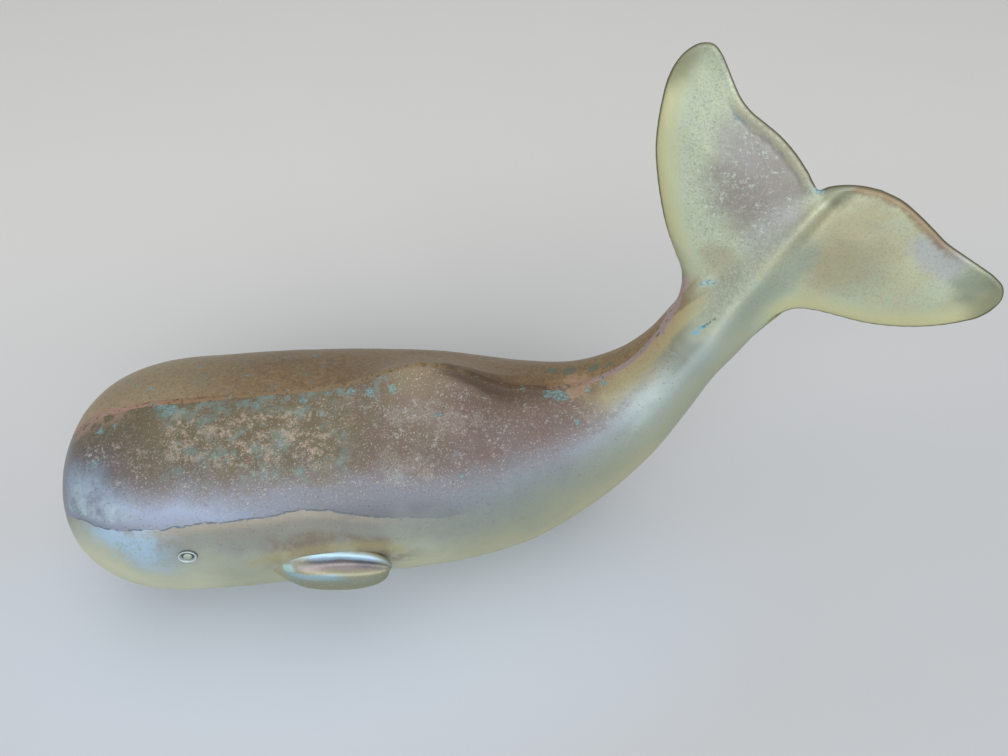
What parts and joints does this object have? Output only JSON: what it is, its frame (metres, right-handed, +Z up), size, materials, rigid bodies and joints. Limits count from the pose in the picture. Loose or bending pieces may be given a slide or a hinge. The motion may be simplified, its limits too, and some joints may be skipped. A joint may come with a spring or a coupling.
{
  "type": "whale figurine",
  "caption": "Hollow brass sperm whale figurine with a blunt head, humped back and lifted tail flukes, resting on a flat belly.",
  "frame": {"origin": "on the table under the middle of the figurine's length and width", "axes": "+Z up, snout towards -X and tail towards +X, the whale's left side towards -Y"},
  "size_m": [0.3892, 0.1312, 0.2375],
  "materials": {
    "cast_brass": "satin, patinated",
    "braze": "ground flush, pinkish"
  },
  "bodies": {
    "root": {"left_half_shell": "cast_brass", "right_half_shell": "cast_brass", "back_seam_braze": "braze", "belly_seam_braze": "braze", "tail_flukes": "cast_brass", "tail_joint_braze": "braze", "left_eye": "cast_brass", "right_eye": "cast_brass", "left_flipper": "cast_brass", "right_flipper": "cast_brass"}
  },
  "joints": []
}
